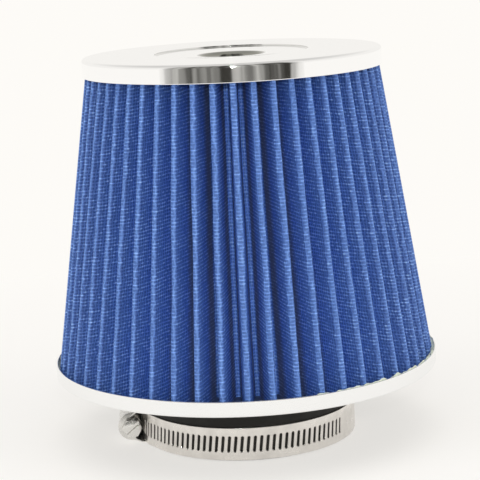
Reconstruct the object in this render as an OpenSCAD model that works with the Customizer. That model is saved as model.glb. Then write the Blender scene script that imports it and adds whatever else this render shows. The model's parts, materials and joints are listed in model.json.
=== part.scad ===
// Conical pleated intake air filter with a pressed top cap, a base ring,
// a rubber neck and a worm-drive hose clamp. The filter stands on the mouth
// of its neck: +Z runs up its axis, -Y is the front and the origin is the
// middle of the mouth.

/* [Overall] */
// Height from the mouth of the neck to the top face of the cap
total_h = 153.5; // [135:0.5:175]
// Diameter over the base ring
base_d = 152; // [146:1:160]
// Diameter over the rim of the top cap
cap_d = 117; // [112:1:126]

/* [Neck and flange] */
// Bore of the neck, which takes a 76 mm pipe
neck_bore = 76; // [70:0.5:78]
// Thickness of the rubber round the bore
neck_wall = 4; // [3:0.5:5]
// Length of the neck from its mouth to the underside of the base ring
neck_len = 27.5; // [24:0.5:34]
// Rounding of the outer edge of the mouth
mouth_round = 2; // [1:0.25:2.5]
// Fillet between the neck and the flange
flange_fillet = 3; // [1:0.5:6]
// Thickness of the rubber flange
flange_t = 1.8; // [1.4:0.2:3]

/* [Base ring] */
// Height of the bright ring round the base
ring_h = 6; // [5.5:0.5:9]
// Sheet thickness of the ring
ring_t = 0.6; // [0.4:0.1:1]
// Outer rounding at the bottom of the ring
ring_round = 1.2; // [1.1:0.1:2]
// Width of the lip that the ring turns in under the flange
ring_lip_w = 8; // [4:1:12]

/* [Top cap] */
// Height of the rim
cap_h = 7; // [6.5:0.5:10]
// Sheet thickness of the pressing
cap_t = 0.6; // [0.4:0.1:0.8]
// Rounding where the top face turns down into the rim
cap_round = 1.4; // [1.1:0.1:2.5]
// Rounding of the lower outer edge of the rim
cap_edge = 0.3; // [0.1:0.1:0.4]
// Diameter of the shallow recess in the top face
recess_d = 60; // [50:1:70]
// Depth of the crisp step at the edge of the recess
recess_step = 0.6; // [0.4:0.1:0.8]
// Fall of the dished face from that step to the lip of the well
dish_fall = 0.5; // [0.2:0.1:1]
// Diameter of the well in the middle
well_d = 23; // [18:1:30]
// Rounding of the lip of the well
well_lip_r = 2.2; // [1.2:0.2:2.6]
// Fillet round the floor of the well
well_floor_r = 1.2; // [0.6:0.2:1.4]
// Depth of the floor of the well below the top face
well_depth = 5; // [4.4:0.1:5]

/* [Pleated media] */
// Number of pleats
pleats = 52; // [40:1:60]
// Depth of a pleat, from its outer fold to its inner fold
pleat_depth = 19; // [12:0.5:22]
// Thickness of the folded gauze
media_t = 0.9; // [0.6:0.1:1.1]
// Outer radius of a fold
fold_r = 1.2; // [1.15:0.05:1.3]
// Most that a fold strays sideways from even spacing, in degrees
fold_stray = 1.2; // [0:0.1:1.5]
// Clearance between the folds and the metal round them
media_gap = 0.5; // [0.2:0.05:0.8]

/* [Sealing compound] */
// Thickness of the bed that the pleats stand in at the base
bed_t = 1; // [0.8:0.1:2]
// How far that bed reaches in past the screen
bed_lip = 0.8; // [0.4:0.1:2]
// How far the pleats reach up inside the rim of the cap
media_reach = 1; // [0.5:0.1:1]

/* [Inner screen] */
// Sheet thickness of the screen
screen_t = 0.8; // [0.6:0.1:1.2]
// Clearance between the screen and the inner folds
screen_gap = 0.3; // [0.2:0.1:0.6]
// Windows round the screen
screen_cols = 26; // [20:2:36]
// Rows of windows
screen_rows = 8; // [6:1:12]
// Width of the bars between windows
screen_bar = 1.6; // [1.2:0.2:3]

/* [Hose clamp] */
// Width of the clamp band
band_w = 12.7; // [11.5:0.1:13]
// Thickness of the band
band_t = 0.7; // [0.5:0.1:0.8]
// Height of the band's lower edge above the mouth of the neck
band_z = 0.8; // [0.8:0.1:4]
// Clearance between the two laps of the band
lap_gap = 0.1; // [0.05:0.05:0.2]
// Angle of the housing round the neck, from the front towards the left
housing_az = 86; // [60:1:110]
// Spacing of the slots along the band
slot_pitch = 2.5; // [2.3:0.1:3]
// Length of a slot
slot_len = 6.2; // [5:0.1:7]
// Width of a slot
slot_w = 1.1; // [0.8:0.1:1.3]
// Lean of the slots, which is the helix angle of the worm
slot_lean = 7; // [0:1:10]
// Angle from the front to the last slot on the right
slots_end_az = 56; // [30:1:80]
// Free end of the band past the housing
tail_len = 6; // [3:0.5:12]

/* [Clamp screw] */
// Radius of the worm
worm_r = 3.9; // [3.5:0.1:4.1]
// Length of the worm
worm_len = 15.6; // [12:0.2:18]
// Radius of the plain necks at both ends of the worm
journal_r = 2.8; // [2:0.1:3]
// Size of the hexagon head across its flats
head_af = 7; // [6:0.1:7.4]
// Height of the head
head_h = 3; // [2.4:0.1:4]
// Width of the slot across the head
driver_slot_w = 1.2; // [0.8:0.1:1.6]
// Depth of that slot
driver_slot_d = 1.4; // [0.8:0.1:1.8]
// Angle at which the slot has come to rest
driver_turn = 40; // [0:5:90]
// How far the chamfer of the head runs in from its flats
head_chamfer = 0.1; // [0:0.05:0.3]

/* [Clamp housing] */
// Wall of the arch over the worm
arch_t = 1; // [0.7:0.1:1.2]
// Thickness of the end walls and of the legs beside the band
leg_t = 0.5; // [0.4:0.05:0.75]
// How far the front lip flares out beyond the arch
lip_flare = 0.6; // [0.2:0.1:0.8]
// How far the front lip reaches down past the axis of the worm
lip_drop = 1.3; // [0.5:0.1:2]
// How far the legs reach down over the edges of the band
leg_drop = 3; // [2:0.2:3.6]
// Running clearance round the worm and its necks
worm_gap = 0.08; // [0.05:0.01:0.15]

/* [Hidden] */
$fn = 120;

// Steps in an arc of a turned profile
arc_steps = 8;
// Steps in the arc of one fold of the media
fold_steps = 4;
// Steps in an arc of a small edge
edge_steps = 4;
// Steps in the ramp where the band climbs onto its own fixed end
ramp_steps = 8;
// How far the faces of the ramp lie inside those of the strips that it joins
ramp_inset = 0.02;
// Sides of the circles at the ends of a slot
slot_fn = 24;
// Sides of the worm and the rods round it
rod_fn = 60;
// Small overlap that keeps cutting shapes clear of the faces they cut
eps = 0.01;
// Clearance between metal parts that are clipped together
clip_gap = 0.05;

neck_r = neck_bore / 2;
neck_or = neck_r + neck_wall;
base_r = base_d / 2;
ring_ir = base_r - ring_t;
flange_z = neck_len + ring_t;
flange_top = flange_z + flange_t;
cap_r = cap_d / 2;
cap_ir = cap_r - cap_t;
rim_z = total_h - cap_h;
media_z0 = flange_top + bed_t;
media_z1 = rim_z + media_reach;
tip_r0 = ring_ir - media_gap;
tip_rim = cap_ir - media_gap;
tip_slope = (tip_rim - tip_r0) / (rim_z - media_z0);
recess_r = recess_d / 2;
well_r = well_d / 2;
dish_z = total_h - recess_step - dish_fall;
well_z = total_h - well_depth;
lip_bend = min(well_lip_r, dish_z - well_z - well_floor_r);

band_r = neck_or;
lap_rise = band_t + lap_gap;
band_mid = band_z + band_w / 2;
slot_step = slot_pitch / (band_r + band_t) * 180 / PI;
housing_dir = -90 - housing_az;
lap_or = band_r + lap_rise + band_t;
worm_x = lap_or + clip_gap + worm_r;
arch_ir = worm_r + worm_gap;
arch_or = arch_ir + arch_t;
worm_end = worm_len / 2;
arch_end = worm_end + leg_t + worm_gap;
head_y = arch_end + worm_gap;
head_r = head_af / sqrt(3);

// Angles along the band from the middle of the housing, towards the front
fixed_end_da = 11;
lap_end_da = 17;
ramp_da = 10;
tail_da = -14;

// A point at radius r and angle a
function polar(r, a) = [r * cos(a), r * sin(a)];

// Points of an arc round c from angle a0 to a1
function arc(c, r, a0, a1, n = arc_steps) =
    [for (i = [0 : n]) c + polar(r, a0 + (a1 - a0) * i / n)];

// Points of a list in the opposite order
function turned(list) = [for (i = [len(list) - 1 : -1 : 0]) list[i]];

// Outer radius of the folds at height z
function tip_r(z) = tip_r0 + tip_slope * (z - media_z0);

// Section of the cap's face that lies depth g inside its outer face,
// from the middle of the well out to the top of the rim
function cap_face(g) = concat(
    [[0, well_z - g]],
    arc([well_r - well_floor_r, well_z + well_floor_r], well_floor_r + g, -90, 0),
    arc([well_r + lip_bend, dish_z - lip_bend], lip_bend - g, 180, 90),
    arc([recess_r - recess_step, total_h], recess_step + g, -90, 0, edge_steps),
    [[recess_r + g, total_h - g]],
    arc([cap_r - cap_round, total_h - cap_round], cap_round - g, 90, 0)
);

module top_cap() {
    lower_edge = arc([cap_r - cap_edge, rim_z + cap_edge], cap_edge, 0, -90, edge_steps);
    color("gainsboro")
    rotate_extrude()
    polygon(concat(cap_face(0), lower_edge, [[cap_ir, rim_z]], turned(cap_face(cap_t))));
}

// Compound that fills the cap above the ends of the pleats
module cap_potting() {
    color("dimgray")
    rotate_extrude()
    intersection() {
        polygon(concat(cap_face(cap_t), [[cap_ir, rim_z], [0, rim_z]]));
        translate([0, media_z1])
        square([cap_ir, cap_h]);
    }
}

// How far fold i strays from even spacing, in degrees: two waves round the foot
// (level 0) and four round the top (level 1)
function stray(i, level) = fold_stray * sin((level + 1) * 720 * i / pleats);

// Closed outline of the folded sheet, side +1 for its outer face and -1 for its inner face
function sheet_outline(tip, side, level) =
    let (
        half = 180 / pleats,
        root = tip - pleat_depth,
        mid_r = fold_r - media_t / 2,
        tip_c = tip - fold_r,
        root_c = root + fold_r,
        span = [root_c * cos(half) - tip_c, root_c * sin(half)],
        wrap = atan2(span[1], span[0]) - acos(2 * mid_r / norm(span)),
        tip_fold = mid_r + side * media_t / 2,
        root_fold = mid_r - side * media_t / 2
    )
    [for (i = [0 : pleats - 1], at_root = [0, 1], j = [0 : fold_steps])
        let (
            place = -90 + (2 * i + at_root) * half + stray(i + at_root / 2, level),
            turn = 2 * j / fold_steps - 1,
            c = at_root ? root_c : tip_c,
            bend = at_root ? -180 - turn * (wrap - half) : turn * wrap,
            r = at_root ? root_fold : tip_fold
        )
        polar(c, place) + polar(r, place + bend)
    ];

// Gauze folded into pleats, as one closed sheet between the two beds
module pleated_media() {
    n = pleats * 2 * (fold_steps + 1);
    heights = [media_z0, media_z1];
    points = [for (level = [0, 1], side = [1, -1])
        for (p = sheet_outline(tip_r(heights[level]), side, level))
            [p[0], p[1], heights[level]]
    ];
    outer0 = 0;
    inner0 = n;
    outer1 = 2 * n;
    inner1 = 3 * n;
    faces = [for (i = [0 : n - 1])
        let (k = (i + 1) % n)
        each [
            [outer0 + i, outer1 + i, outer1 + k], [outer0 + i, outer1 + k, outer0 + k],
            [inner0 + i, inner1 + k, inner1 + i], [inner0 + i, inner0 + k, inner1 + k],
            [outer0 + i, outer0 + k, inner0 + k], [outer0 + i, inner0 + k, inner0 + i],
            [outer1 + i, inner1 + k, outer1 + k], [outer1 + i, inner1 + i, inner1 + k]
        ]
    ];
    color("royalblue")
    polyhedron(points, faces);
}

// Perforated cone that keeps the pleats from drawing in
module inner_screen() {
    foot_r = tip_r(media_z0) - pleat_depth - screen_gap;
    head_r = tip_r(media_z1) - pleat_depth - screen_gap;
    height = media_z1 - media_z0;
    row_h = (height - screen_bar) / screen_rows;
    color("silver")
    difference() {
        translate([0, 0, media_z0])
        rotate_extrude()
        polygon([
            [foot_r - screen_t, 0], [foot_r, 0], [head_r, height], [head_r - screen_t, height]
        ]);
        for (row = [0 : screen_rows - 1])
            let (
                mid_r = foot_r + (head_r - foot_r) * (row + 0.5) / screen_rows,
                window_w = 2 * PI * mid_r / screen_cols - screen_bar
            )
            translate([0, 0, media_z0 + screen_bar + row * row_h])
            linear_extrude(height = row_h - screen_bar)
            for (col = [0 : screen_cols / 2 - 1])
                rotate(360 * col / screen_cols)
                square([base_d, window_w], center = true);
    }
}

module base_ring() {
    color("gainsboro")
    rotate_extrude()
    polygon(concat(
        [[base_r - ring_lip_w, neck_len]],
        arc([base_r - ring_round, neck_len + ring_round], ring_round, -90, 0),
        [[base_r, neck_len + ring_h], [ring_ir, neck_len + ring_h]],
        arc([base_r - ring_round, neck_len + ring_round], ring_round - ring_t, 0, -90),
        [[base_r - ring_lip_w, flange_z]]
    ));
}

// Bed of compound that the pleats and the screen stand in
module base_potting() {
    bed_ir = tip_r0 - pleat_depth - screen_gap - screen_t - bed_lip;
    color("gainsboro")
    translate([0, 0, flange_top])
    difference() {
        cylinder(r = ring_ir - clip_gap, h = bed_t);
        translate([0, 0, -eps])
        cylinder(r = bed_ir, h = bed_t + 2 * eps);
    }
}

// Neck and flange, one rubber moulding
module neck_moulding() {
    edge_r = ring_round - ring_t;
    rim_r = ring_ir - clip_gap;
    color([0.1, 0.1, 0.1])
    rotate_extrude()
    polygon(concat(
        [[neck_r, 0]],
        arc([neck_or - mouth_round, mouth_round], mouth_round, -90, 0),
        arc([neck_or + flange_fillet, flange_z - flange_fillet], flange_fillet, 180, 90),
        arc([rim_r - edge_r, flange_z + edge_r], edge_r, -90, 0, edge_steps),
        [[rim_r, flange_top], [neck_r, flange_top]]
    ));
}

// Outline of one slot with round ends, upright in its own plane
module slot_shape() {
    rotate(-slot_lean) {
        square([slot_w, slot_len - slot_w], center = true);
        for (end = [-1, 1])
            translate([0, end * (slot_len - slot_w) / 2])
            circle(d = slot_w, $fn = slot_fn);
    }
}

// Cutter for one slot, from radius r out through both laps, at angle a round the neck
module slot_cut(a, r) {
    rotate([0, 0, a])
    translate([r, 0, band_mid])
    rotate([90, 0, 90])
    linear_extrude(height = lap_rise + 3 * band_t)
    slot_shape();
}

// Arc of the strip at inner radius r, from angle a over the angle sweep
module strip_arc(r, a, sweep) {
    rotate([0, 0, a])
    rotate_extrude(angle = sweep)
    translate([r, band_z])
    square([band_t, band_w]);
}

// Strip that runs once round the neck, climbs onto its own fixed end,
// passes under the worm and ends in a short free tail
module clamp_band() {
    lap_a = housing_dir + lap_end_da;
    main_a = lap_a + ramp_da;
    main_sweep = 360 - ramp_da - lap_end_da + fixed_end_da;
    tail_a = housing_dir + tail_da;
    slots_a = -90 + slots_end_az;
    slots = floor((slots_a - tail_a) / slot_step);
    ramp = [for (i = [-1 : ramp_steps + 1])
        let (
            u = i / ramp_steps,
            rise = min(max(u, 0), 1)
        )
        [band_r + ramp_inset + lap_rise * (3 - 2 * rise) * rise * rise, main_a - ramp_da * u]
    ];
    color("lightgray")
    difference() {
        union() {
            strip_arc(band_r, main_a, main_sweep);
            translate([0, 0, band_z])
            linear_extrude(height = band_w)
            polygon(concat(
                [for (p = ramp) polar(p[0], p[1])],
                [for (p = turned(ramp)) polar(p[0] + band_t - 2 * ramp_inset, p[1])]
            ));
            strip_arc(band_r + lap_rise, tail_a, lap_end_da - tail_da);
            rotate([0, 0, tail_a])
            translate([band_r + lap_rise, -tail_len, band_z])
            cube([band_t, tail_len, band_w]);
        }
        for (i = [0 : slots - 1])
            let (a = slots_a - i * slot_step)
            slot_cut(a, a < housing_dir + fixed_end_da + slot_step
                ? band_r + band_t + lap_gap / 2 : band_r - band_t);
    }
}

// Moves children to the worm's axis, lengthways along +Y towards the screw head
module at_worm() {
    rotate([0, 0, housing_dir])
    translate([worm_x, 0, band_mid])
    children();
}

// Cylinder along Y from y0 to y1
module rod(r, y0, y1) {
    translate([0, y0, 0])
    rotate([-90, 0, 0])
    cylinder(r = r, h = y1 - y0, $fn = rod_fn);
}

// Extrudes a section that lies across the worm from y0 to y1 along it
module along_worm(y0, y1) {
    translate([0, y0, 0])
    rotate([-90, 0, 0])
    linear_extrude(height = y1 - y0)
    children();
}

// Arch of radius r whose sides run on tangents to the foot, w from the middle,
// and from there straight down beside the band
module arch_section(r, w) {
    seat = -worm_r;
    tangent = polar(r, atan2(w, seat) - acos(r / norm([seat, w])));
    circle(r = r, $fn = rod_fn);
    polygon([
        [seat - leg_drop, w], [seat, w], tangent,
        [tangent[0], -tangent[1]], [seat, -w], [seat - leg_drop, -w]
    ]);
}

// Pressed arch over the worm, closed behind and open in front below a flared lip,
// with legs that reach down over the edges of the band
module clamp_housing() {
    inner_w = band_w / 2 + clip_gap;
    lip_r = arch_or + lip_flare;
    cavity_end = worm_end + worm_gap;
    color("silver")
    difference() {
        at_worm()
        difference() {
            along_worm(-arch_end, arch_end)
            arch_section(arch_or, inner_w + leg_t);
            along_worm(-cavity_end, arch_end + eps)
            arch_section(arch_ir, inner_w);
        }
        at_worm()
        rod(journal_r + worm_gap, -worm_len, 0);
        around_band();
    }
    color("silver")
    difference() {
        at_worm()
        intersection() {
            rod(lip_r, cavity_end, arch_end);
            translate([-lip_drop, 0, -lip_r])
            cube([2 * lip_r, worm_len, 2 * lip_r]);
        }
        at_worm()
        rod(journal_r + worm_gap, 0, worm_len);
    }
}

// Space that the band and the neck take up, with their clearance
module around_band() {
    translate([0, 0, band_mid])
    cylinder(r = lap_or + clip_gap, h = band_w + 2 * clip_gap, center = true);
    translate([0, 0, -eps])
    cylinder(r = neck_or + clip_gap, h = neck_len);
}

// Worm between two plain necks, with a slotted hexagon head
module clamp_screw() {
    color("whitesmoke")
    difference() {
        at_worm() {
            rod(worm_r, -worm_end, worm_end);
            rod(journal_r, -head_y, head_y);
            intersection() {
                translate([0, head_y, 0])
                rotate([-90, 0, 0])
                cylinder(r = head_r, h = head_h, $fn = 6);
                translate([0, head_y, 0])
                rotate([-90, 0, 0])
                cylinder(r1 = head_r + head_h, r2 = head_af / 2 - head_chamfer, h = head_h, $fn = rod_fn);
            }
        }
        at_worm()
        translate([0, head_y + head_h, 0])
        rotate([0, driver_turn, 0])
        cube([3 * head_r, 2 * driver_slot_d, driver_slot_w], center = true);
    }
}

top_cap();
cap_potting();
pleated_media();
inner_screen();
base_ring();
base_potting();
neck_moulding();
clamp_band();
clamp_housing();
clamp_screw();
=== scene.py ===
import json
import math

import bmesh
import bpy
import numpy as np
from mathutils import Matrix, Vector


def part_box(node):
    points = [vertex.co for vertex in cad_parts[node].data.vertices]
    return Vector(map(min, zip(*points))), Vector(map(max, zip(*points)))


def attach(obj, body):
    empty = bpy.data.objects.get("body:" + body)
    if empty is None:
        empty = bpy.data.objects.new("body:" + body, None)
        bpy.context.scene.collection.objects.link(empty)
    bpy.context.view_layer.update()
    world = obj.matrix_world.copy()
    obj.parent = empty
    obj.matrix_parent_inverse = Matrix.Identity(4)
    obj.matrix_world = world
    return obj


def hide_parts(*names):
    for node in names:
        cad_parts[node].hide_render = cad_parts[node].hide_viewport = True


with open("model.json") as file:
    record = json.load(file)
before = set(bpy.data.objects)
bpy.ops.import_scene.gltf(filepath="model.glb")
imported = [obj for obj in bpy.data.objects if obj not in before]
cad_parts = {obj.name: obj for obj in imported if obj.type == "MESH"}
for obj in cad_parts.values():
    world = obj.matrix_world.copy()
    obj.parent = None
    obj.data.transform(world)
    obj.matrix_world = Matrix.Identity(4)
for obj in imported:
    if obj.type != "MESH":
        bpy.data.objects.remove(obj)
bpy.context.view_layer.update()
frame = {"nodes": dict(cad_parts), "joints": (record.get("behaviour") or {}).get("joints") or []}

# Lengths are in millimetres, and MM turns them into the scene's metres
MM = 0.001
ON_AXIS = 1e-6
CREASE_DEG = 35

# Camera, from the ellipses of the cap, the ring and the clamp in the photograph, angles in radians
FRAME_PX = 480
FOCAL_PX = 1728.7
SENSOR_MM = 36
CAMERA_PLACE = (0, -675.75, 206.1)
CAMERA_YAW = -0.000246
CAMERA_PITCH = 0.18684
CAMERA_ROLL = -0.049396
CAMERA_REACH_M = 100

# Pressed cap
CAP_T = 0.6
CAP_ROUND = 1.4
CAP_EDGE = 0.3
RECESS_R = 30
RECESS_STEP = 0.6
RECESS_EDGE = 0.1
STEP_FILLET = 0.2
DISH_FALL = 0.5
DISH_STEPS = 14
WELL_R = 11.5
WELL_LIP_R = 2.2
WELL_FLOOR_R = 1.2
WELL_DEPTH = 5

# Base ring and rubber moulding
RING_T = 0.6
RING_ROUND = 1.2
RING_EDGE = 0.22
RING_LIP_W = 8
FLANGE_T = 1.8
NECK_R = 38
NECK_OR = 42
BORE_EDGE = 0.8
MOUTH_ROUND = 2
FLANGE_FILLET = 3
CLIP_GAP = 0.05

# Compound at the foot of the pleats; each set of beads has a count round the ring and a phase
BED_SKIN = 0.1
BED_STEPS = 20
BED_CLIMB = 3.2
BED_FILL_W = 1.1
MENISCUS_POWER = 12
PLEAT_LIFT = 0.14
BEADS = ((41, 0), (67, 1), (113, 2))
BEAD_H = 0.18
DRY_SIDE = 0.06
WET_DIR = -5
WET_MEAN = 0.35
WET_SWING = 0.9

# Pleated sheet
PLEATS = 52
PLEAT_DEPTH = 19
SHEET_T = 0.9
FOLD_R = 1.2
ROOT_R = 1.8
FOLD_STRAY = 1.2
STRAY_TURNS = 2
MEDIA_GAP = 0.5
MEDIA_REACH = 1
MEDIA_ROWS = 48
MESH_PITCH = 1.29

# Waves along each fold, held at the foot and the cap
WAVE_SEED = 7
WAVES = 3
WAVE_TURNS = 0.8
WAVE_SWAY = 0.14
LEAST_WAVE = 0.3
ROOT_SWAY = 0.35
HELD_POWER = 0.6

# Clamp
BAND_T = 0.7
BAND_R = NECK_OR
BAND_EDGE = 0.16
BAND_CORNER = 0.05
POINT_DIGITS = 4
LAP_GAP = 0.1
SLOT_PITCH = 2.5
SLOT_LEN = 6.2
SLOT_W = 1.1
SLOT_LEAN = 7
SLOT_BEVEL = 0.2
SLOTS_END_AZ = 56
FIXED_END_DA = 11
LAP_END_DA = 17
RAMP_DA = 10
TAIL_DA = -14
TAIL_LEN = 6
WORM_R = 3.9
WORM_ROOT_R = 3.1
WORM_LEN = 15.6
THREAD_STEEPNESS = 1.8
THREAD_ROOT = 0.4
THREAD_RUN_OUT = 1.2
JOURNAL_R = 2.8
JOURNAL_OVERLAP = 0.1
EDGE_SOFTNESS = 0.08
JOIN_WITHIN = 1e-3
FLAT_DEG = 1
SHARP_DEG = 40

# Floor, card and backdrop
FLOOR_R = 20000
FLOOR_SIDES = 8
FLOOR_TONE = (0.97, 0.955, 0.925)
BACKDROP_TONE = (0.985, 0.965, 0.93)
WORLD_TONE = (1.0, 0.99, 0.975)
WORLD_STRENGTH = 0.5
NEAR_R = 85
FAR_R = 350
NEAR_GLOW = 0.62
CARD_R = 900
CARD_FOOT = 1
CARD_TOP = 1500
CARD_SPAN = 60
CARD_STEPS = 48


def box_mm(node):
    """Lowest and highest corners of a node at rest, in millimetres."""
    low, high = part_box(node)
    return [v / MM for v in low], [v / MM for v in high]


def polar(r, a):
    """Point at radius r and angle a in degrees."""
    return np.array([r * math.cos(math.radians(a)), r * math.sin(math.radians(a))])


def arc(centre, r, a0, a1, steps=10):
    """Points of an arc round centre from angle a0 to a1, in degrees."""
    return [tuple(np.array(centre) + polar(r, a0 + (a1 - a0) * i / steps)) for i in range(steps + 1)]


def ease(u):
    """Smooth step from 0 to 1."""
    u = min(max(u, 0), 1)
    return u * u * (3 - 2 * u)


def mesh_object(name, points, faces, material, sharp=CREASE_DEG):
    """Object in the scene from points in millimetres and faces."""
    mesh = bpy.data.meshes.new(name)
    mesh.from_pydata([tuple(float(c) * MM for c in p) for p in points], [], faces)
    mesh.validate()
    return dressed_object(name, mesh, material, sharp)


def dressed_object(name, mesh, material, sharp=CREASE_DEG):
    """Object in the scene from a mesh in metres, shaded smooth, with creases above an angle in degrees."""
    mesh.shade_smooth()
    mesh.set_sharp_from_angle(angle=math.radians(sharp))
    mesh.materials.append(material)
    piece = bpy.data.objects.new(name, mesh)
    bpy.context.scene.collection.objects.link(piece)
    return piece


def faces_outward(piece):
    """Turn every face of a closed piece outwards."""
    solid = bmesh.new()
    solid.from_mesh(piece.data)
    bmesh.ops.recalc_face_normals(solid, faces=solid.faces)
    solid.to_mesh(piece.data)
    solid.free()
    return piece


def with_supports(profile, near=0.06, least=0.5):
    """Profile with extra points close to the ends of its long straight runs, so flats shade flat."""
    out = []
    for a, b in zip(profile, profile[1:] + profile[:1]):
        out.append(a)
        a, b = np.array(a), np.array(b)
        length = np.linalg.norm(b - a)
        if length > least and max(a[0], b[0]) > 0:
            out += [tuple(a + (b - a) * near / length), tuple(b - (b - a) * near / length)]
    return out


def lathe(name, profile, material, segments=256, shape=None):
    """Closed profile of (radius, height) turned round Z; shape(x, y, z) may move its points."""
    rings, points = [], []
    for r, z in with_supports(profile):
        if r < ON_AXIS:
            rings.append([len(points)] * segments)
            points.append((0, 0, z))
            continue
        rings.append(list(range(len(points), len(points) + segments)))
        points += [(*polar(r, 360 * i / segments), z) for i in range(segments)]
    faces = []
    for low, high in zip(rings, rings[1:] + rings[:1]):
        for i in range(segments):
            k = (i + 1) % segments
            corners = list(dict.fromkeys([low[i], low[k], high[k], high[i]]))
            if len(corners) > 2:
                faces.append(corners)
    if shape:
        points = [shape(*p) for p in points]
    return faces_outward(mesh_object(name, points, faces, material))


class Shader:
    """A material whose nodes are written as short formulas."""

    def __init__(self, name, **surface):
        self.material = bpy.data.materials.new(name)
        self.material.use_nodes = True
        self.tree = self.material.node_tree
        self.surface = self.tree.nodes["Principled BSDF"]
        for socket, value in surface.items():
            self.surface.inputs[socket.replace("_", " ")].default_value = value

    def add(self, kind, **settings):
        """New node of a kind, with its settings."""
        node = self.tree.nodes.new(kind)
        for name, value in settings.items():
            setattr(node, name, value)
        return node

    def feed(self, socket, value):
        """Link an output to a socket, or set the socket's own value."""
        if isinstance(value, bpy.types.NodeSocket):
            self.tree.links.new(value, socket)
        else:
            socket.default_value = value

    def math(self, operation, *values):
        """Result of a sum on values, each a number or an output."""
        node = self.add("ShaderNodeMath", operation=operation)
        for socket, value in zip(node.inputs, values):
            self.feed(socket, value)
        return node.outputs[0]

    def stretch(self, value, low, high, to_low=0.0, to_high=1.0):
        """Value between low and high, mapped to another range and held at its ends."""
        node = self.add("ShaderNodeMapRange")
        for socket, v in zip(node.inputs, (value, low, high, to_low, to_high)):
            self.feed(socket, v)
        return node.outputs[0]

    def place(self):
        """Object coordinates in metres."""
        return self.add("ShaderNodeTexCoord").outputs["Object"]

    def axes(self, vector):
        """The three numbers of a vector."""
        node = self.add("ShaderNodeSeparateXYZ")
        self.feed(node.inputs[0], vector)
        return node.outputs

    def radius(self, place):
        """Distance of a place from the Z axis."""
        node = self.add("ShaderNodeVectorMath", operation="LENGTH")
        self.feed(node.inputs[0], self.scaled(place, (1, 1, 0)))
        return node.outputs["Value"]

    def scaled(self, vector, factors):
        """Vector with each of its numbers times a factor."""
        node = self.add("ShaderNodeVectorMath", operation="MULTIPLY")
        self.feed(node.inputs[0], vector)
        node.inputs[1].default_value = factors
        return node.outputs[0]

    def at_most(self, colour, limits):
        """Colour with each channel held below its limit."""
        node = self.add("ShaderNodeVectorMath", operation="MINIMUM")
        self.feed(node.inputs[0], colour)
        node.inputs[1].default_value = limits
        return node.outputs[0]

    def noise(self, vector, scale, detail=3.0, roughness=0.55):
        """Cloudy noise from 0 to 1."""
        node = self.add("ShaderNodeTexNoise")
        self.feed(node.inputs["Vector"], vector)
        node.inputs["Scale"].default_value = scale
        node.inputs["Detail"].default_value = detail
        node.inputs["Roughness"].default_value = roughness
        return node.outputs["Fac"]

    def scatter(self, across, up):
        """Random share from 0 to 1 for each cell of a grid."""
        cell = self.add("ShaderNodeCombineXYZ")
        self.feed(cell.inputs[0], self.math("FLOOR", across))
        self.feed(cell.inputs[1], self.math("FLOOR", up))
        node = self.add("ShaderNodeTexWhiteNoise", noise_dimensions="2D")
        self.feed(node.inputs["Vector"], cell.outputs[0])
        return node.outputs["Value"]

    def mix(self, factor, a, b):
        """Mix of two colours, each plain or an output."""
        node = self.add("ShaderNodeMix", data_type="RGBA")
        self.feed(node.inputs[0], factor)
        for socket, colour in ((node.inputs[6], a), (node.inputs[7], b)):
            self.feed(socket, colour if isinstance(colour, bpy.types.NodeSocket) else (*colour, 1))
        return node.outputs[2]

    def bump(self, height, depth_mm, under=None):
        """Surface normal raised by a height from 0 to 1, over another bump if there is one."""
        node = self.add("ShaderNodeBump")
        node.inputs["Distance"].default_value = depth_mm * MM
        self.feed(node.inputs["Height"], height)
        if under:
            self.feed(node.inputs["Normal"], under)
        return node.outputs[0]

    def blend(self, factor, a, b):
        """Mix of two shaders."""
        node = self.add("ShaderNodeMixShader")
        for socket, value in zip(node.inputs, (factor, a, b)):
            self.feed(socket, value)
        return node.outputs[0]

    def finish(self, **links):
        """Link or set the surface's sockets."""
        for socket, value in links.items():
            self.feed(self.surface.inputs[socket.replace("_", " ")], value)
        return self.material

    def finish_stage(self, shader):
        """Put another shader in the surface's place."""
        self.tree.nodes.remove(self.surface)
        self.tree.links.new(shader, self.tree.nodes["Material Output"].inputs["Surface"])
        return self.material


def bright_steel(name, tone, roughness, wave_mm, painted_dark_rings=()):
    """Polished plating: fine rub marks, faint haze and slight waves.

    A ring of painted shade and dark reflection runs round Z between two radii, with soft edges and a tone
    of its own.
    """
    s = Shader(name, Metallic=1.0, Base_Color=(*tone, 1))
    place = s.place()
    for ring in painted_dark_rings:
        reach = s.radius(place)
        inside = s.stretch(reach, ring["low"] * MM, (ring["low"] + ring["soft"]) * MM)
        outside = s.stretch(reach, ring["high"] * MM, (ring["high"] - ring["soft"]) * MM)
        tone = s.mix(s.math("MULTIPLY", inside, outside), tone, ring["tone"])
        s.feed(s.surface.inputs["Base Color"], tone)
    haze = s.noise(place, scale=60)
    rubs = s.noise(s.scaled(place, (1, 1, 14)), scale=900, detail=2)
    marks = s.math("MULTIPLY_ADD", rubs, 0.4, haze)
    level = s.stretch(marks, 0.45, 0.95, to_low=roughness, to_high=roughness * 2.2)
    waves = s.bump(s.noise(place, scale=45, detail=1), wave_mm)
    return s.finish(Roughness=level, Normal=s.bump(rubs, 0.0006, under=waves))


def rubber(name, colour, grain_mm, gloss):
    """Matte moulded rubber with a fine grain and paler rubbed spots."""
    s = Shader(name, Roughness=gloss, Specular_IOR_Level=0.35)
    place = s.place()
    grain = s.noise(place, scale=2600, roughness=0.6)
    spots = s.stretch(s.noise(place, scale=130, detail=4), 0.5, 0.75)
    tone = s.mix(spots, colour, [c * 1.5 + 0.006 for c in colour])
    level = s.stretch(grain, 0.3, 0.7, to_low=gloss - 0.08, to_high=gloss + 0.1)
    return s.finish(Base_Color=tone, Roughness=level, Normal=s.bump(grain, grain_mm))


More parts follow.
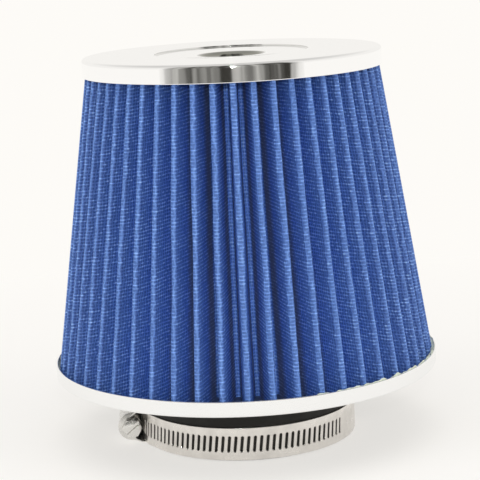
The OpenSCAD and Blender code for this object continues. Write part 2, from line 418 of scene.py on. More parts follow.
def compound(name, colour, shade, painted_shade=None):
    """Cast sealing compound: cloudy tone, soft ripples and a satin skin.

    Painted shade gives it another, darker tone near the pleats, in full up to one radius and
    fading out at the next.
    """
    s = Shader(name, Specular_IOR_Level=0.4)
    place = s.place()
    cloud = s.noise(place, scale=240)
    fine = s.noise(place, scale=1500, detail=2)
    tone = s.mix(s.stretch(cloud, 0.35, 0.7), colour, shade)
    if painted_shade:
        plain = s.stretch(s.radius(place), painted_shade["full"] * MM, painted_shade["end"] * MM)
        tone = s.mix(plain, painted_shade["tone"], tone)
    level = s.stretch(fine, 0.3, 0.7, to_low=0.4, to_high=0.65)
    ripple = s.bump(cloud, 0.25)
    return s.finish(Base_Color=tone, Roughness=level, Normal=s.bump(fine, 0.02, under=ripple))


def strip_steel(name, colour, roughness, lengthways):
    """Rolled or turned steel with drawn streaks along one direction and small dull patches."""
    s = Shader(name, Metallic=1.0)
    place = s.place()
    streaks = s.noise(s.scaled(place, lengthways), scale=700, roughness=0.6)
    patches = s.noise(place, scale=180)
    tone = s.mix(s.stretch(patches, 0.35, 0.75), colour, [c * 0.86 for c in colour])
    marks = s.math("MULTIPLY_ADD", streaks, 0.6, patches)
    level = s.stretch(marks, 0.55, 1.05, to_low=roughness, to_high=roughness + 0.16)
    return s.finish(Base_Color=tone, Roughness=level, Normal=s.bump(streaks, 0.006))


def blue_gauze():
    """Blue coated wire mesh pressed over dyed gauze.

    The attribute "weave" holds the place on the unfolded sheet in millimetres, x across the
    folds and y up the pleat. On the outer face its z goes from 0 at a root to 1 at a tip. Wires
    run both ways, each passing over and under in turn.
    """
    gauze_tones = ((0.018, 0.05, 0.19), (0.05, 0.115, 0.375))
    coat_tones = ((0.09, 0.205, 0.59), (0.13, 0.27, 0.72))
    # Fold tones: partly wear on the coating, partly a painted highlight on tips and root folds
    wear_and_highlight_tones = ((0.085, 0.18, 0.48), (0.205, 0.385, 0.86))
    glint_tone = (0.4, 0.62, 0.95)
    # Tone of the painted shade on the flanks; factors and limits of the painted light deep in the pleats
    flank_shade_tone = (0.085, 0.088, 0.1)
    painted_light_factors = (1.75, 1.78, 1.78)
    painted_light_limits = (0.4, 0.57, 0.95)
    wire_taper = 3.9
    crimp_swing, crimp_mean = 0.16, 0.8
    row_range, row_least, upright_share = 0.8, 0.42, 0.62
    s = Shader("blue_gauze", Specular_IOR_Level=0.45)
    sheet = s.add("ShaderNodeAttribute", attribute_name="weave").outputs["Vector"]
    parts = s.axes(sheet)
    drift = s.noise(s.scaled(sheet, (0.05, 0.05, 1)), scale=1, detail=2)
    wobble = s.noise(s.scaled(sheet, (0.3, 0.3, 1)), scale=1, detail=2)
    sideways = s.math("MULTIPLY_ADD", wobble, 1.6, drift)
    across = s.math("MULTIPLY_ADD", parts[0], 1 / MESH_PITCH, sideways)
    up = s.math("MULTIPLY_ADD", parts[1], 1 / MESH_PITCH, drift)
    out = parts[2]

    def wire(cross, along, phase):
        """Height of the wires that lie across one direction, with their crimp."""
        cell = s.math("FLOOR", cross)
        off = s.math("SUBTRACT", s.math("SUBTRACT", cross, cell), 0.5)
        body = s.math("SUBTRACT", 1, s.math("POWER", s.math("MULTIPLY", off, wire_taper), 2.0))
        turn = s.math("ADD", s.math("MULTIPLY", cell, math.pi), s.math("MULTIPLY", along, math.pi))
        rise = s.math("COSINE", s.math("ADD", turn, phase))
        crimp = s.math("MULTIPLY_ADD", rise, crimp_swing, crimp_mean)
        return s.math("MULTIPLY", s.math("MAXIMUM", body, 0), crimp)

    quarter_turn = math.pi / 2
    upright = wire(across, up, quarter_turn)
    level = wire(up, across, -quarter_turn)
    cells = s.scatter(across, up)
    rows = s.math("MULTIPLY", level, s.math("MULTIPLY_ADD", cells, row_range, row_least))
    height = s.math("MAXIMUM", rows, s.math("MULTIPLY", upright, upright_share))

    # Coated wires over the gauze, with glints where two wires cross
    threads = s.noise(sheet, scale=3.1, detail=2, roughness=0.7)
    wear = s.noise(s.scaled(sheet, (0.4, 0.12, 1)), scale=1)
    gauze = s.mix(s.stretch(threads, 0.35, 0.65), *gauze_tones)
    coat = s.mix(s.stretch(wear, 0.3, 0.72), *coat_tones)
    raised = s.stretch(height, 0.08, 0.85)
    tone = s.mix(raised, gauze, coat)
    knot = s.stretch(s.math("MINIMUM", upright, level), 0.1, 0.7)
    glint = s.math("MULTIPLY", knot, s.math("POWER", cells, 3.0))
    tone = s.mix(glint, tone, glint_tone)

    # Paler at the folds, partly wear and partly a painted highlight, painted shade low on the flanks, and
    # painted light where a fold shades itself
    at_tip = s.stretch(out, 0.974, 1.0, to_low=0, to_high=0.62)
    at_root = s.stretch(out, 0.08, 0.02, to_low=0, to_high=0.3)
    tone = s.mix(s.math("ADD", at_tip, at_root), tone, s.mix(raised, *wear_and_highlight_tones))
    # Painted shade: grey, low on the flanks above the root fold
    above_root = s.stretch(out, 0.04, 0.12, to_low=0, to_high=0.65)
    flank = s.math("MULTIPLY", s.stretch(out, 0.55, 0.3), above_root)
    tone = s.mix(flank, tone, flank_shade_tone)
    # Painted light: the tone brightened deep in the pleats, against the shade there
    pale = s.at_most(s.scaled(tone, painted_light_factors), painted_light_limits)
    tone = s.mix(s.stretch(out, 0.95, 0.5), tone, pale)

    gloss = s.stretch(height, 0.1, 0.8, to_low=0.7, to_high=0.42)
    weave = s.bump(height, 0.12)
    return s.finish(Base_Color=tone, Roughness=gloss, Normal=s.bump(threads, 0.04, under=weave))


# Painted shade and dark reflection on the cap: the well's corner, wall and lip, and the recess step
WELL_PAINTED_DARK = dict(low=WELL_R - 2, high=WELL_R + WELL_LIP_R, soft=0.8, tone=(0.36, 0.36, 0.33))
RECESS_PAINTED_DARK = dict(low=RECESS_R - 0.35, high=RECESS_R + 0.15, soft=0.15, tone=(0.8, 0.8, 0.79))
# Painted shade on the compound among the pleats, fading out before the ring
BED_PAINTED_SHADE = dict(full=69, end=73, tone=(0.06, 0.09, 0.19))
CAP_STEEL = bright_steel(
    "cap_steel", (0.97, 0.972, 0.975), roughness=0.035, wave_mm=0.02, painted_dark_rings=(WELL_PAINTED_DARK, RECESS_PAINTED_DARK)
)
RING_STEEL = bright_steel("ring_steel", (0.92, 0.925, 0.925), roughness=0.09, wave_mm=0.03)
BLACK_RUBBER = rubber("black_rubber", (0.0105, 0.0098, 0.0078), grain_mm=0.03, gloss=0.55)
DARK_COMPOUND = compound("dark_compound", (0.035, 0.035, 0.037), shade=(0.02, 0.02, 0.021))
PALE_COMPOUND = compound("pale_compound", (0.78, 0.84, 0.72), shade=(0.66, 0.72, 0.58), painted_shade=BED_PAINTED_SHADE)
SCREEN_STEEL = strip_steel("screen_steel", (0.6, 0.6, 0.6), roughness=0.32, lengthways=(1, 1, 0.06))
BAND_STEEL = strip_steel("band_steel", (0.83, 0.80, 0.76), roughness=0.24, lengthways=(0.05, 0.05, 1))
HOUSING_STEEL = strip_steel("housing_steel", (0.80, 0.79, 0.76), roughness=0.2, lengthways=(1, 0.1, 1))
SCREW_STEEL = strip_steel("screw_steel", (0.86, 0.85, 0.82), roughness=0.16, lengthways=(1, 1, 1))
GAUZE = blue_gauze()

# Places read from the frame
cap_low, cap_high = box_mm("top_cap")
ring_low, ring_high = box_mm("base_ring")
bed_low, bed_high = box_mm("base_potting")
band_low, band_high = box_mm("clamp_band")
screw_joint = frame["joints"][0]
screw_place = Vector(screw_joint["pos_m"]) / MM
CAP_R, CAP_TOP, RIM_Z = cap_high[0], cap_high[2], cap_low[2]
RING_R, RING_Z0, RING_Z1 = ring_high[0], ring_low[2], ring_high[2]
RING_IR = RING_R - RING_T
FLANGE_Z = RING_Z0 + RING_T
FLANGE_TOP = FLANGE_Z + FLANGE_T
BED_Z0, BED_Z1 = bed_low[2], bed_high[2]
MEDIA_Z0, MEDIA_Z1 = FLANGE_TOP + BED_SKIN / 2, RIM_Z + MEDIA_REACH
MEDIA_H = MEDIA_Z1 - MEDIA_Z0
HOUSING_DIR = math.degrees(math.atan2(screw_place.y, screw_place.x))
BAND_Z0, BAND_Z1 = band_low[2], band_high[2]
BAND_MID = (BAND_Z0 + BAND_Z1) / 2
LAP_RISE = BAND_T + LAP_GAP
SLOT_STEP = math.degrees(SLOT_PITCH / (BAND_R + BAND_T))


def cap_face(g):
    """Section of the cap's face, g inside its outer face, from the well's middle to the rim."""
    dish_low = CAP_TOP - RECESS_STEP - DISH_FALL
    dish_r = RECESS_R - STEP_FILLET
    lip_r = WELL_R + WELL_LIP_R
    dish = []
    for i in range(1, DISH_STEPS):
        u = i / DISH_STEPS
        dish.append((lip_r + (dish_r - lip_r) * u, dish_low + DISH_FALL * ease(u) - g))
    return (
        [(0, CAP_TOP - WELL_DEPTH - g)]
        + arc((WELL_R - WELL_FLOOR_R, CAP_TOP - WELL_DEPTH + WELL_FLOOR_R), WELL_FLOOR_R + g, -90, 0, 12)
        + arc((lip_r, dish_low - WELL_LIP_R), WELL_LIP_R - g, 180, 90, 14)
        + dish
        + arc((dish_r, CAP_TOP - RECESS_STEP + STEP_FILLET), STEP_FILLET + g, -90, 0, 6)
        + arc((RECESS_R + RECESS_EDGE + g, CAP_TOP - RECESS_EDGE - g), RECESS_EDGE, 180, 90, 4)
        + arc((CAP_R - CAP_ROUND, CAP_TOP - CAP_ROUND), CAP_ROUND - g, 90, 0, 14)
    )


def build_cap():
    """Cap with its rim, recess and well, as one sheet."""
    inside = cap_face(CAP_T)[::-1]
    edge = arc((CAP_R - CAP_EDGE, RIM_Z + CAP_EDGE), CAP_EDGE, 0, -90, 6)
    profile = cap_face(0) + edge + [(CAP_R - CAP_T, RIM_Z)] + inside
    cap = lathe("pressed_cap", profile, CAP_STEEL, segments=320)
    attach(cap, "filter")
    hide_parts("top_cap")


def build_ring():
    """Ring with its lower lip turned in."""
    low_r = RING_R - RING_LIP_W
    profile = (
        arc((low_r, RING_Z0 + RING_T / 2), RING_T / 2, 270, 90, 6)[::-1]
        + arc((RING_R - RING_ROUND, RING_Z0 + RING_ROUND), RING_ROUND, -90, 0, 12)
        + arc((RING_R - RING_EDGE, RING_Z1 - RING_EDGE), RING_EDGE, 0, 90, 4)
        + arc((RING_IR + RING_EDGE, RING_Z1 - RING_EDGE), RING_EDGE, 90, 180, 4)
        + arc((RING_R - RING_ROUND, RING_Z0 + RING_ROUND), RING_ROUND - RING_T, 0, -90, 8)
    )
    ring = lathe("spun_ring", profile, RING_STEEL, segments=320)
    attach(ring, "filter")
    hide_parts("base_ring")


def build_neck():
    """Neck and flange in one moulding."""
    edge_r = RING_ROUND - RING_T
    rim_r = RING_IR - CLIP_GAP
    profile = (
        arc((NECK_R + BORE_EDGE, BORE_EDGE), BORE_EDGE, 180, 270, 6)
        + arc((NECK_OR - MOUTH_ROUND, MOUTH_ROUND), MOUTH_ROUND, -90, 0, 10)
        + arc((NECK_OR + FLANGE_FILLET, FLANGE_Z - FLANGE_FILLET), FLANGE_FILLET, 180, 90, 10)
        + arc((rim_r - edge_r, FLANGE_Z + edge_r), edge_r, -90, 0, 6)
        + [(rim_r, FLANGE_TOP), (NECK_R, FLANGE_TOP)]
    )
    neck = lathe("rubber_neck", profile, BLACK_RUBBER)
    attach(neck, "filter")
    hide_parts("neck_moulding")


def build_bed():
    """Poured compound that climbs the ring in beads, highest at the wet side and at each tip."""
    bed_ir = min(math.hypot(v.co.x, v.co.y) for v in frame["nodes"]["base_potting"].data.vertices) / MM
    outer = RING_IR - CLIP_GAP
    floor_z = FLANGE_TOP + BED_SKIN
    top = []
    for i in range(BED_STEPS + 1):
        u = i / BED_STEPS
        z = floor_z + (BED_Z1 - floor_z) * (1 - u) ** MENISCUS_POWER
        top.append((outer - (outer - bed_ir) * u ** 2, z))

    def lumps(x, y, z):
        """Place of a point of the bed, lifted near the ring if it lies on top."""
        if z < FLANGE_TOP + BED_SKIN / 2:
            return x, y, z
        a = math.atan2(y, x)
        share = (math.hypot(x, y) - bed_ir) / (outer - BED_FILL_W - bed_ir)
        near_ring = min(max(0, share), 1) ** MENISCUS_POWER
        pleat = 0.5 + 0.5 * math.cos(PLEATS * (a + math.pi / 2))
        beads = sum(math.sin(count * a + phase) for count, phase in BEADS)
        wet_side = ease(WET_MEAN + WET_SWING * math.cos(a - math.radians(WET_DIR)))
        wet = DRY_SIDE + (1 - DRY_SIDE) * wet_side
        lift = BED_CLIMB * (1 - PLEAT_LIFT + PLEAT_LIFT * pleat) + BEAD_H * beads
        return x, y, z + near_ring * wet * lift

    profile = [(bed_ir, BED_Z0), (outer, BED_Z0)] + top
    bed = lathe("poured_bed", profile, PALE_COMPOUND, segments=16 * PLEATS, shape=lumps)
    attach(bed, "filter")
    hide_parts("base_potting")


def stray(fold, level):
    """Degrees by which a fold strays from even spacing at the foot (0) or the top (1)."""
    turns = STRAY_TURNS * (level + 1)
    return FOLD_STRAY * math.sin(math.radians(turns * 360 * fold / PLEATS))


def sheet_outline(tip, side, level, fold_steps=6, flank_steps=2):
    """Outline of the folded sheet at one height, side +1 for its outer face and -1 for its inner."""
    half = 180 / PLEATS
    root = tip - PLEAT_DEPTH
    tip_mid = FOLD_R - SHEET_T / 2
    root_mid = ROOT_R - SHEET_T / 2
    tip_c = tip - FOLD_R
    root_c = root + ROOT_R
    span = polar(root_c, half) - np.array([tip_c, 0])
    lean = math.acos((tip_mid + root_mid) / np.linalg.norm(span))
    wrap = math.degrees(math.atan2(span[1], span[0]) - lean)
    folds = []
    for i in range(2 * PLEATS):
        at_root = i % 2
        place = -90 + i * half + stray(i / 2, level)
        centre = polar(root_c if at_root else tip_c, place)
        r = root_mid - side * SHEET_T / 2 if at_root else tip_mid + side * SHEET_T / 2
        points = []
        for j in range(fold_steps + 1):
            turn = 2 * j / fold_steps - 1
            bend = -180 - turn * (wrap - half) if at_root else turn * wrap
            points.append(centre + polar(r, place + bend))
        folds.append(points)
    outline = []
    for points, after in zip(folds, folds[1:] + folds[:1]):
        outline += points
        for k in range(1, flank_steps + 1):
            outline.append(points[-1] + (after[0] - points[-1]) * k / (flank_steps + 1))
    return np.array(outline)


def build_media():
    """Folded sheet from the compound to the cap, with waves along its folds."""
    tip_foot = RING_IR - MEDIA_GAP
    slope = (CAP_R - CAP_T - MEDIA_GAP - tip_foot) / (RIM_Z - MEDIA_Z0)
    tips = [tip_foot, tip_foot + slope * MEDIA_H]
    foot, head = [[sheet_outline(tip, side, level) for side in (1, -1)] for level, tip in enumerate(tips)]
    columns = len(foot[0])
    middle = (foot[0] + foot[1]) / 2
    steps = np.linalg.norm(np.roll(middle, -1, axis=0) - middle, axis=1)
    across = np.concatenate([[0], np.cumsum(steps)])
    reach = np.hypot(middle[:, 0], middle[:, 1])
    out = (reach - reach.min()) / (reach.max() - reach.min())

    draw = np.random.default_rng(WAVE_SEED)
    phases = draw.uniform(0, 2 * math.pi, (WAVES, 2 * PLEATS))
    sizes = draw.uniform(LEAST_WAVE, 1.0, (WAVES, 2 * PLEATS))
    fold_no = np.arange(columns) / columns * 2 * PLEATS
    left = np.floor(fold_no).astype(int) % (2 * PLEATS)
    right = np.ceil(fold_no).astype(int) % (2 * PLEATS)
    part = fold_no - np.floor(fold_no)
    angle = np.arctan2(middle[:, 1], middle[:, 0])
    sideways = np.stack([-np.sin(angle), np.cos(angle)], 1)
    loose = ROOT_SWAY + (1 - ROOT_SWAY) * out
    points = []
    for row in range(MEDIA_ROWS + 1):
        w = row / MEDIA_ROWS
        held = math.sin(math.pi * w) ** HELD_POWER
        sway = 0
        for k in range(WAVES):
            sway = sway + sizes[k] * np.sin(2 * math.pi * (k + 1) * WAVE_TURNS * w + phases[k])
        shift = WAVE_SWAY * held * (sway[left] * (1 - part) + sway[right] * part)
        for side in (0, 1):
            ring = foot[side] * (1 - w) + head[side] * w
            moved = ring + (shift * loose)[:, None] * sideways
            points.append(np.column_stack([moved, np.full(columns, MEDIA_Z0 + MEDIA_H * w)]))
    points = np.concatenate(points)
    out = np.append(out, out[0])

    def at(row, side, column):
        """Number of a point of the sheet, side 0 for its outer face and 1 for its inner."""
        return (row * 2 + side) * columns + column % columns

    faces, places = [], []
    for row in range(MEDIA_ROWS):
        v = [MEDIA_H * r / MEDIA_ROWS for r in (row, row + 1)]
        for c in range(columns):
            u = (across[c], across[c + 1])
            faces.append((at(row, 0, c), at(row, 0, c + 1), at(row + 1, 0, c + 1), at(row + 1, 0, c)))
            places += [(u[0], v[0], out[c]), (u[1], v[0], out[c + 1])]
            places += [(u[1], v[1], out[c + 1]), (u[0], v[1], out[c])]
            faces.append((at(row, 1, c), at(row + 1, 1, c), at(row + 1, 1, c + 1), at(row, 1, c + 1)))
            places += [(u[0], v[0], 0), (u[0], v[1], 0), (u[1], v[1], 0), (u[1], v[0], 0)]
    for row, v in ((0, 0), (MEDIA_ROWS, MEDIA_H)):
        for c in range(columns):
            u = (across[c], across[c + 1])
            quad = [at(row, 0, c), at(row, 1, c), at(row, 1, c + 1), at(row, 0, c + 1)]
            place = [(u[0], v, 0), (u[0], v, 1), (u[1], v, 1), (u[1], v, 0)]
            faces.append(tuple(quad if row == 0 else quad[::-1]))
            places += place if row == 0 else place[::-1]
    media = mesh_object("pleated_gauze", points, faces, GAUZE, sharp=65)
    weave = media.data.attributes.new("weave", "FLOAT_VECTOR", "CORNER")
    weave.data.foreach_set("vector", np.array(places, dtype=np.float32).ravel())
    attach(media, "filter")
    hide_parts("pleated_media")


def band_point(a, z, depth):
    """Point of the strip at angle a (unwrapped), at height z, depth below its outer face."""
    tail_a = HOUSING_DIR + TAIL_DA
    lap_a = HOUSING_DIR + LAP_END_DA
    inner = BAND_R + LAP_RISE * ease((lap_a + RAMP_DA - a) / RAMP_DA)
    r = inner + BAND_T - depth
    if a >= tail_a:
        return (*polar(r, a), z)
    run = math.radians(tail_a - a) * BAND_R
    return (*(polar(r, tail_a) + polar(run, tail_a - 90)), z)


def slot_outline(a, grow, points):
    """Stadium of one slot round angle a, grown by a margin, as (angle, height) pairs."""
    lean = math.radians(SLOT_LEAN)
    half = (SLOT_LEN - SLOT_W) / 2
    r = SLOT_W / 2 + grow
    per_end = points // 2
    out = []
    for end in (1, -1):
        for i in range(per_end):
            t = math.radians(180 * i / (per_end - 1))
            x = r * math.cos(t) * end
            y = (half + r * math.sin(t)) * end
            across = x * math.cos(lean) + y * math.sin(lean)
            height = -x * math.sin(lean) + y * math.cos(lean)
            out.append((a + math.degrees(across / (BAND_R + BAND_T)), BAND_MID + height))
    return out


def build_band():
    """Strip with a bevelled slot in each cell, its laps, ramp and free tail."""
    tail_end = HOUSING_DIR + TAIL_DA - math.degrees(TAIL_LEN / BAND_R)
    fixed_end = HOUSING_DIR + FIXED_END_DA + 360
    slots_a = -90 + SLOTS_END_AZ
    slots = math.floor((slots_a - (HOUSING_DIR + TAIL_DA)) / SLOT_STEP)
    slotted_high = slots_a + SLOT_STEP / 2
    slotted_low = slotted_high - slots * SLOT_STEP
    points, faces, index = [], [], {}

    def vertex(a, z, depth):
        """Number of a point of the strip, which is added if it is new."""
        key = tuple(round(v, POINT_DIGITS) for v in (a, z, depth))
        if key not in index:
            index[key] = len(points)
            points.append(band_point(a, z, depth))
        return index[key]

    def face(*corners):
        """Add a face of the strip, unless its corners coincide."""
        ids = list(dict.fromkeys(vertex(*c) for c in corners))
        if len(ids) > 2:
            faces.append(ids)

    low, high = BAND_Z0 + BAND_EDGE, BAND_Z1 - BAND_EDGE
    upper_edge = [
        (high, 0),
        (BAND_Z1 - BAND_CORNER, BAND_CORNER),
        (BAND_Z1, BAND_EDGE),
        (BAND_Z1, BAND_T - BAND_EDGE),
        (BAND_Z1 - BAND_CORNER, BAND_T - BAND_CORNER),
        (high, BAND_T),
    ]

    def skin(a0, a1):
        """Both long edges of the strip between two angles, rounded, and nothing else."""
        for (z0, d0), (z1, d1) in zip(upper_edge, upper_edge[1:]):
            face((a0, z0, d0), (a0, z1, d1), (a1, z1, d1), (a1, z0, d0))
            y0, y1 = 2 * BAND_MID - z0, 2 * BAND_MID - z1
            face((a0, y0, d0), (a1, y0, d0), (a1, y1, d1), (a0, y1, d1))

    side_steps, top_steps = 8, 4
    heights = [low + (high - low) * i / side_steps for i in range(side_steps + 1)]

    def plain(a0, a1):
        """A length of the strip without a slot."""
        skin(a0, a1)
        for z0, z1 in zip(heights, heights[1:]):
            face((a0, z0, 0), (a0, z1, 0), (a1, z1, 0), (a1, z0, 0))
            face((a0, z0, BAND_T), (a1, z0, BAND_T), (a1, z1, BAND_T), (a0, z1, BAND_T))

    def slotted(a):
        """One cell of the strip with a slot at angle a."""
        a0, a1 = a - SLOT_STEP / 2, a + SLOT_STEP / 2
        tops = [a0 + (a1 - a0) * i / top_steps for i in range(top_steps + 1)]
        for t0, t1 in zip(tops, tops[1:]):
            skin(t0, t1)
        rim = [(a1, z) for z in heights[side_steps // 2:]]
        rim += [(t, high) for t in tops[::-1][1:]]
        rim += [(a0, z) for z in heights[::-1][1:]]
        rim += [(t, low) for t in tops[1:]]
        rim += [(a1, z) for z in heights[1:side_steps // 2]]
        count = len(rim)
        wide = slot_outline(a, SLOT_BEVEL, count)
        tight = slot_outline(a, 0, count)
        rings = [(rim, 0), (wide, 0), (tight, SLOT_BEVEL), (tight, BAND_T), (rim, BAND_T)]
        for (outer, d0), (inner, d1) in zip(rings, rings[1:]):
            for i in range(count):
                j = (i + 1) % count
                face((*outer[i], d0), (*outer[j], d0), (*inner[j], d1), (*inner[i], d1))

    def run(a_from, a_to, step):
        """Plain strip between two angles, in steps of at most so many degrees."""
        n = max(1, math.ceil((a_to - a_from) / step))
        for i in range(n):
            plain(a_from + (a_to - a_from) * i / n, a_from + (a_to - a_from) * (i + 1) / n)

    run(tail_end, slotted_low, step=1.5)
    for i in range(slots):
        slotted(slots_a - i * SLOT_STEP)
    run(slotted_high, fixed_end, step=2)
    for a in (tail_end, fixed_end):
        outline = [(z, 0) for z in heights]
        outline += upper_edge[1:-1]
        outline += [(z, BAND_T) for z in heights[::-1]]
        outline += [(2 * BAND_MID - z, d) for z, d in upper_edge[-2:0:-1]]
        faces.append([vertex(a, z, d) for z, d in outline])
    band = faces_outward(mesh_object("slotted_band", points, faces, BAND_STEEL, sharp=40))
    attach(band, "filter")
    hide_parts("clamp_band")


def copy_of(node):
    """Copy of a CAD node's mesh, with the points that coincide joined."""
    solid = bmesh.new()
    solid.from_mesh(frame["nodes"][node].data)
    bmesh.ops.remove_doubles(solid, verts=solid.verts, dist=JOIN_WITHIN * MM)
    return solid


def soften_edges(solid, width):
    """Join the flat faces of a bmesh and round its sharp edges by a width in millimetres."""
    flat = math.radians(FLAT_DEG)
    bmesh.ops.dissolve_limit(solid, angle_limit=flat, verts=solid.verts, edges=solid.edges)
    joined = [e for e in solid.edges if len(e.link_faces) == 2]
    sharp = [e for e in joined if e.calc_face_angle() > math.radians(SHARP_DEG)]
    bmesh.ops.bevel(solid, geom=sharp, offset=width * MM, segments=2, profile=0.5, affect="EDGES")


def clamp_piece(name, solid, material, node, body):
    """Object made from a bmesh, in place of a node of the clamp."""
    mesh = bpy.data.meshes.new(name)
    solid.to_mesh(mesh)
    solid.free()
    piece = dressed_object(name, mesh, material)
    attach(piece, body)
    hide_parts(node)


def build_housing():
    """The stamping, with its edges rounded as a press leaves them."""
    solid = copy_of("clamp_housing")
    soften_edges(solid, EDGE_SOFTNESS)
    clamp_piece("stamped_housing", solid, HOUSING_STEEL, "clamp_housing", "filter")


def build_screw():
    """The slotted head with softened edges, and the worm with its thread and journals."""
    solid = copy_of("clamp_screw")
    centre = screw_place * MM

    # Turned so that ahead points from the middle of the worm to the head
    ahead = Vector(screw_joint["axis"]).normalized()
    reaches = [(v.co - centre).dot(ahead) / MM for v in solid.verts]
    tail = min(reaches)
    if max(reaches) < -tail:
        ahead.negate()
        tail = -max(reaches)

    # The head is kept as far as a cut through the journal beside it
    half = WORM_LEN / 2
    cut = (half - tail) / 2
    everything = solid.verts[:] + solid.edges[:] + solid.faces[:]
    cut_at = centre + ahead * cut * MM
    bmesh.ops.bisect_plane(solid, geom=everything, plane_co=cut_at, plane_no=ahead, clear_inner=True)
    bmesh.ops.holes_fill(solid, edges=[e for e in solid.edges if e.is_boundary])
    soften_edges(solid, EDGE_SOFTNESS)

    # The worm and its journals are turned anew, in rings along the axis
    side = ahead.cross(Vector((0, 0, 1))).normalized()
    up = side.cross(ahead)
    columns, thread_rows, shoulder = 40, 96, 0.01
    rows = [tail, -half - shoulder]
    rows += [half * (2 * i / thread_rows - 1) for i in range(thread_rows + 1)]
    rows += [half + shoulder, cut + JOURNAL_OVERLAP]

    def radius(y, turn):
        """Radius of the worm at a distance y from its middle, at a share of a turn."""
        if abs(y) > half:
            return JOURNAL_R
        flank = 2 * abs((y / SLOT_PITCH - turn) % 1 - 0.5)
        run_out = ease((half - abs(y)) / THREAD_RUN_OUT)
        thread = ease(THREAD_STEEPNESS * flank - THREAD_ROOT)
        return WORM_ROOT_R + (WORM_R - WORM_ROOT_R) * thread * run_out

    rings = []
    for y in rows:
        ring = []
        for i in range(columns):
            a = 2 * math.pi * i / columns
            spoke = (side * math.cos(a) + up * math.sin(a)) * radius(y, i / columns)
            ring.append(solid.verts.new(centre + (ahead * y + spoke) * MM))
        rings.append(ring)
    for low, high in zip(rings, rings[1:]):
        for i in range(columns):
            k = (i + 1) % columns
            solid.faces.new((low[i], low[k], high[k], high[i]))
    solid.faces.new(rings[0][::-1])
    solid.faces.new(rings[-1])
    bmesh.ops.recalc_face_normals(solid, faces=solid.faces)
    clamp_piece("worm_screw", solid, SCREW_STEEL, "clamp_screw", "screw")


def dress(node, material):
    """Give a CAD node its finished material."""
    slots = frame["nodes"][node].data.materials
    slots.clear()
    slots.append(material)


def pale_floor():
    """Pale floor that glows a little to the camera and in reflections, clear from below."""
    s = Shader("pale_floor")
    diffuse = s.add("ShaderNodeBsdfDiffuse")
    diffuse.inputs["Color"].default_value = (*FLOOR_TONE, 1)
    glow = s.add("ShaderNodeEmission")
    glow.inputs["Color"].default_value = (*BACKDROP_TONE, 1)
    paths = s.add("ShaderNodeLightPath")
    seen = s.math("MAXIMUM", paths.outputs["Is Camera Ray"], paths.outputs["Is Glossy Ray"])
    share = s.stretch(s.radius(s.place()), NEAR_R * MM, FAR_R * MM, to_low=NEAR_GLOW)
    top = s.blend(s.math("MULTIPLY", seen, share), diffuse.outputs[0], glow.outputs[0])
    below = s.add("ShaderNodeNewGeometry").outputs["Backfacing"]
    clear = s.add("ShaderNodeBsdfTransparent")
    return s.finish_stage(s.blend(below, top, clear.outputs[0]))


def grey_card():
    """Grey card with cloudy upright streaks, fading out at both sides."""
    fade_from, fade_to = 0.74, 0.92
    wander = 0.14
    streak_scale, streak_from, streak_to = 5, 0.42, 0.66
    dark_tone, pale_tone = (0.04, 0.038, 0.033), (0.5, 0.49, 0.46)
    s = Shader("grey_card")
    place = s.place()
    parts = s.axes(place)
    bearing = s.math("ARCTAN2", parts[0], s.math("MULTIPLY", parts[1], -1))
    bearing = s.math("MULTIPLY_ADD", s.noise(place, scale=12, detail=2), wander, bearing)
    bearing = s.math("SUBTRACT", bearing, wander / 2)
    streaks = s.add("ShaderNodeTexNoise", noise_dimensions="1D")
    streaks.inputs["Scale"].default_value = streak_scale
    s.feed(streaks.inputs["W"], bearing)
    glow = s.add("ShaderNodeEmission")
    streak = s.stretch(streaks.outputs["Fac"], streak_from, streak_to)
    s.feed(glow.inputs["Color"], s.mix(streak, dark_tone, pale_tone))
    clear = s.add("ShaderNodeBsdfTransparent")
    faded = s.stretch(s.math("ABSOLUTE", bearing), fade_from, fade_to)
    return s.finish_stage(s.blend(faded, glow.outputs[0], clear.outputs[0]))


def build_stage():
    """Pale floor, and in front a grey card seen only in reflections, as studios use for bright metal."""
    mesh = bpy.data.meshes.new("floor")
    corners = [(*(polar(FLOOR_R, 360 / FLOOR_SIDES * i) * MM), 0) for i in range(FLOOR_SIDES)]
    mesh.from_pydata(corners, [], [tuple(range(FLOOR_SIDES))])
    floor = bpy.data.objects.new("floor", mesh)
    bpy.context.scene.collection.objects.link(floor)
    mesh.materials.append(pale_floor())

    angles = [-90 - CARD_SPAN + 2 * CARD_SPAN * i / CARD_STEPS for i in range(CARD_STEPS + 1)]
    points = [(*polar(CARD_R, a), z) for a in angles for z in (CARD_FOOT, CARD_TOP)]
    faces = [(2 * i, 2 * i + 1, 2 * i + 3, 2 * i + 2) for i in range(CARD_STEPS)]
    card = mesh_object("dark_card", points, faces, grey_card())
    for kind in ("camera", "diffuse", "transmission", "volume_scatter", "shadow"):
        setattr(card, "visible_" + kind, False)


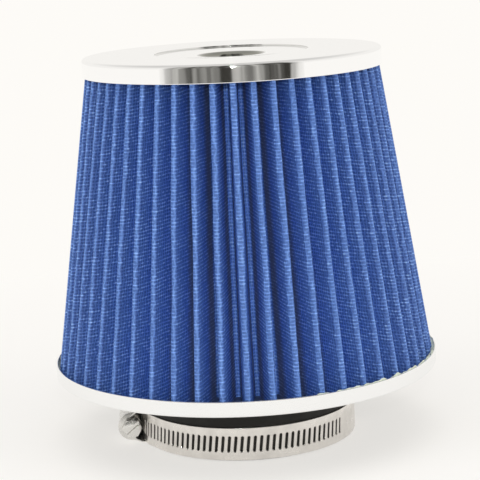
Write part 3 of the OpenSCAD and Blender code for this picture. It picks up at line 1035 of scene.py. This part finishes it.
def build_world():
    """Even pale light, brighter to the camera and in reflections, and there dimmer overhead."""
    low_rise, high_rise, low_strength, high_strength = 0.35, 0.85, 0.93, 0.66
    world = bpy.data.worlds.new("tent")
    bpy.context.scene.world = world
    world.use_nodes = True
    nodes, links = world.node_tree.nodes, world.node_tree.links
    soft = nodes["Background"]
    soft.inputs["Color"].default_value = (*WORLD_TONE, 1)
    soft.inputs["Strength"].default_value = WORLD_STRENGTH
    bright = nodes.new("ShaderNodeBackground")
    bright.inputs["Color"].default_value = (*BACKDROP_TONE, 1)
    heading = nodes.new("ShaderNodeTexCoord")
    parts = nodes.new("ShaderNodeSeparateXYZ")
    rise = nodes.new("ShaderNodeMapRange")
    for socket, value in zip(rise.inputs[1:5], (low_rise, high_rise, low_strength, high_strength)):
        socket.default_value = value
    links.new(heading.outputs["Generated"], parts.inputs[0])
    links.new(parts.outputs[2], rise.inputs[0])
    links.new(rise.outputs[0], bright.inputs["Strength"])
    paths = nodes.new("ShaderNodeLightPath")
    seen = nodes.new("ShaderNodeMath")
    seen.operation = "MAXIMUM"
    links.new(paths.outputs["Is Camera Ray"], seen.inputs[0])
    links.new(paths.outputs["Is Glossy Ray"], seen.inputs[1])
    blend = nodes.new("ShaderNodeMixShader")
    links.new(seen.outputs[0], blend.inputs[0])
    links.new(soft.outputs[0], blend.inputs[1])
    links.new(bright.outputs[0], blend.inputs[2])
    links.new(blend.outputs[0], nodes["World Output"].inputs["Surface"])


def soft_light(name, place, size, power, glossy=False):
    """Round area light that faces the middle of the filter."""
    lamp = bpy.data.lights.new(name, "AREA")
    lamp.shape = "DISK"
    lamp.size = size * MM
    lamp.energy = power
    light = bpy.data.objects.new(name, lamp)
    light.location = Vector(place) * MM
    aim = Vector((0, 0, CAP_TOP / 2)) * MM - light.location
    light.rotation_euler = aim.to_track_quat("-Z", "Y").to_euler()
    light.visible_glossy = glossy
    bpy.context.scene.collection.objects.link(light)


def build_camera():
    """Camera with the photograph's place, turn and field of view."""
    data = bpy.data.cameras.new("camera")
    data.sensor_width = SENSOR_MM
    data.lens = FOCAL_PX / FRAME_PX * SENSOR_MM
    data.clip_end = CAMERA_REACH_M
    ahead = Vector((
        math.sin(CAMERA_YAW) * math.cos(CAMERA_PITCH),
        math.cos(CAMERA_YAW) * math.cos(CAMERA_PITCH),
        -math.sin(CAMERA_PITCH),
    ))
    level = ahead.cross(Vector((0, 0, 1))).normalized()
    upright = level.cross(ahead)
    right = math.cos(CAMERA_ROLL) * level + math.sin(CAMERA_ROLL) * upright
    up = -math.sin(CAMERA_ROLL) * level + math.cos(CAMERA_ROLL) * upright
    turn = Matrix((right, up, -ahead)).transposed().to_4x4()
    camera = bpy.data.objects.new("camera", data)
    camera.matrix_world = Matrix.Translation(Vector(CAMERA_PLACE) * MM) @ turn
    bpy.context.scene.collection.objects.link(camera)
    bpy.context.scene.camera = camera


build_camera()
build_cap()
build_ring()
build_neck()
build_bed()
build_media()
build_band()
dress("cap_potting", DARK_COMPOUND)
dress("inner_screen", SCREEN_STEEL)
build_housing()
build_screw()
build_stage()
build_world()
soft_light("top_light", place=(0, -300, 1500), size=1400, power=8)
soft_light("left_light", place=(-1300, -700, 700), size=1000, power=5.5)
soft_light("right_light", place=(1300, -700, 700), size=1000, power=5.5)
soft_light("front_light", place=(8, -700, 275), size=22, power=0.8, glossy=True)
bpy.context.scene.view_settings.view_transform = "Standard"
